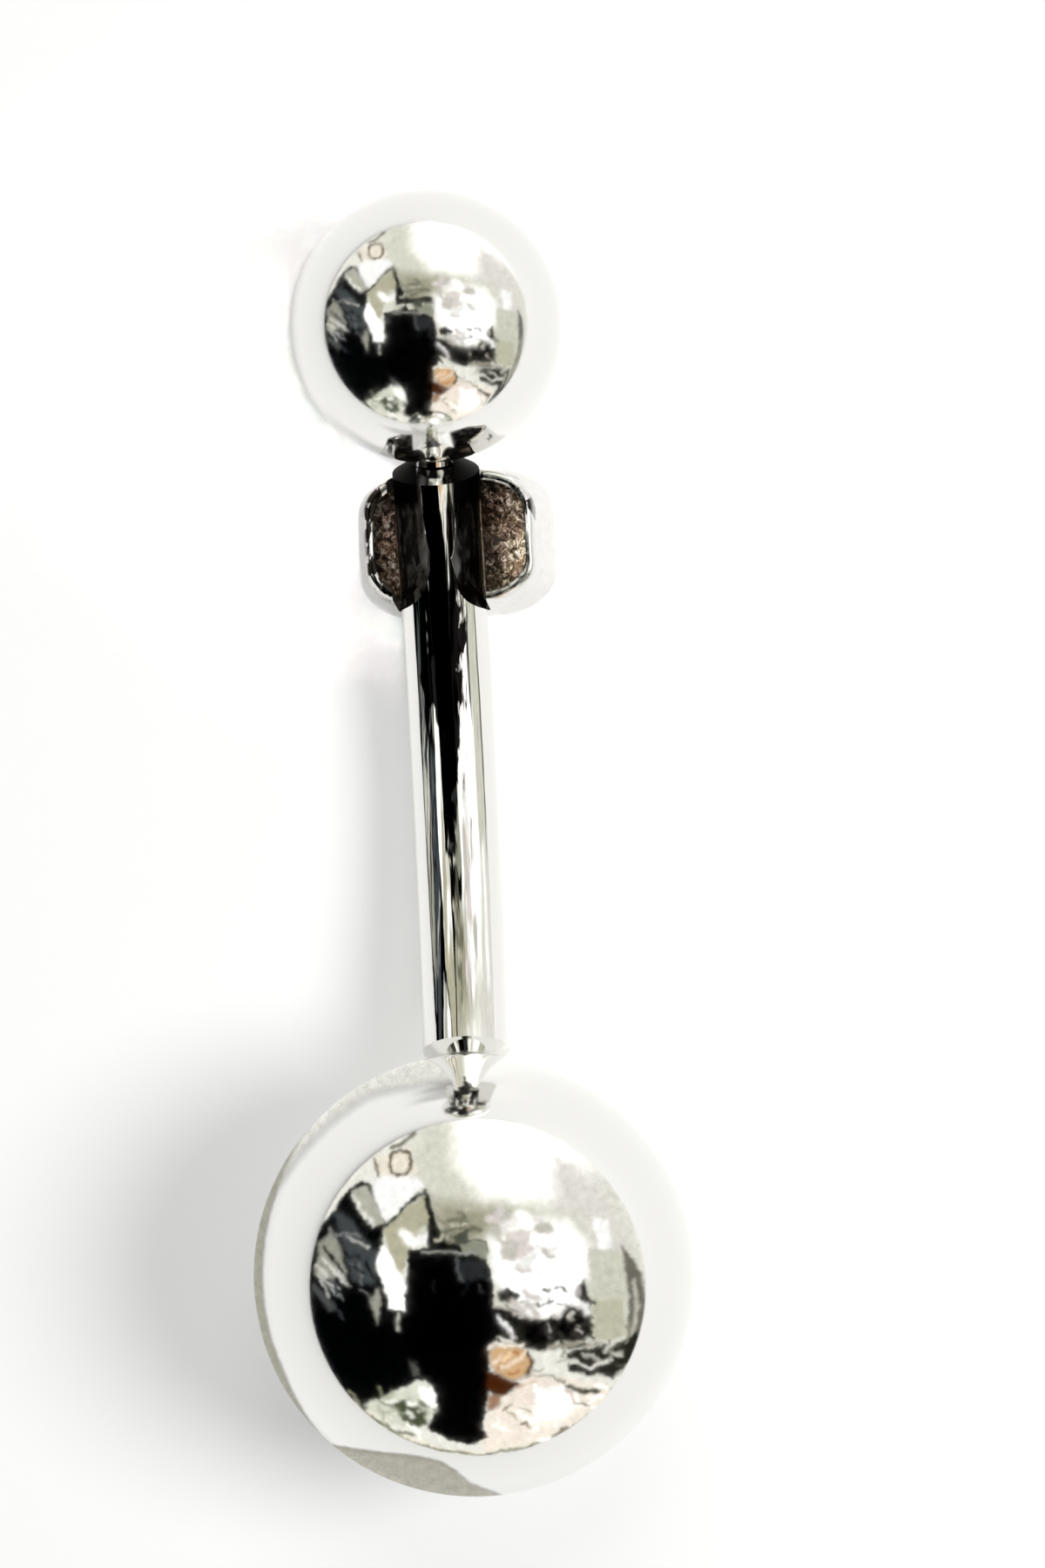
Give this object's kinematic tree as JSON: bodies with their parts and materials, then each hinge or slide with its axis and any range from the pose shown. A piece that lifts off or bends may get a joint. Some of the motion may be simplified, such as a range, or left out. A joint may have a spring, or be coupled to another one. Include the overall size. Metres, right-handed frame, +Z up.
{
  "type": "navel ring",
  "caption": "Curved barbell navel ring: a bent steel bar with a small ball at one end, a large ball at the other and a crystal in a deep open-backed collet that the bar lies across.",
  "frame": {"origin": "bottom centre of the bounding box as the ring lies by itself, on the surface under it", "axes": "+X along the ring from the small ball to the large ball, +Y across it, +Z up; the bar sags towards -Z between its ends"},
  "size_m": [0.0238, 0.008, 0.008],
  "materials": {
    "bar_steel": "polished",
    "ball_steel": "mirror polished",
    "crystal": "faceted, foiled, dark brown"
  },
  "bodies": {
    "bar": {"curved_bar": "bar_steel", "crystal": "crystal"},
    "small_ball": {"small_ball": "ball_steel"},
    "large_ball": {"large_ball": "ball_steel"}
  },
  "joints": [
    {"name": "small_ball_off", "type": "slide", "parent": "bar", "child": "small_ball", "axis": [-0.9302, 0, 0.3672], "range_m": [0, 0.0018]},
    {"name": "large_ball_off", "type": "slide", "parent": "bar", "child": "large_ball", "axis": [0.9242, 0, 0.382], "range_m": [0, 0.0018]}
  ]
}
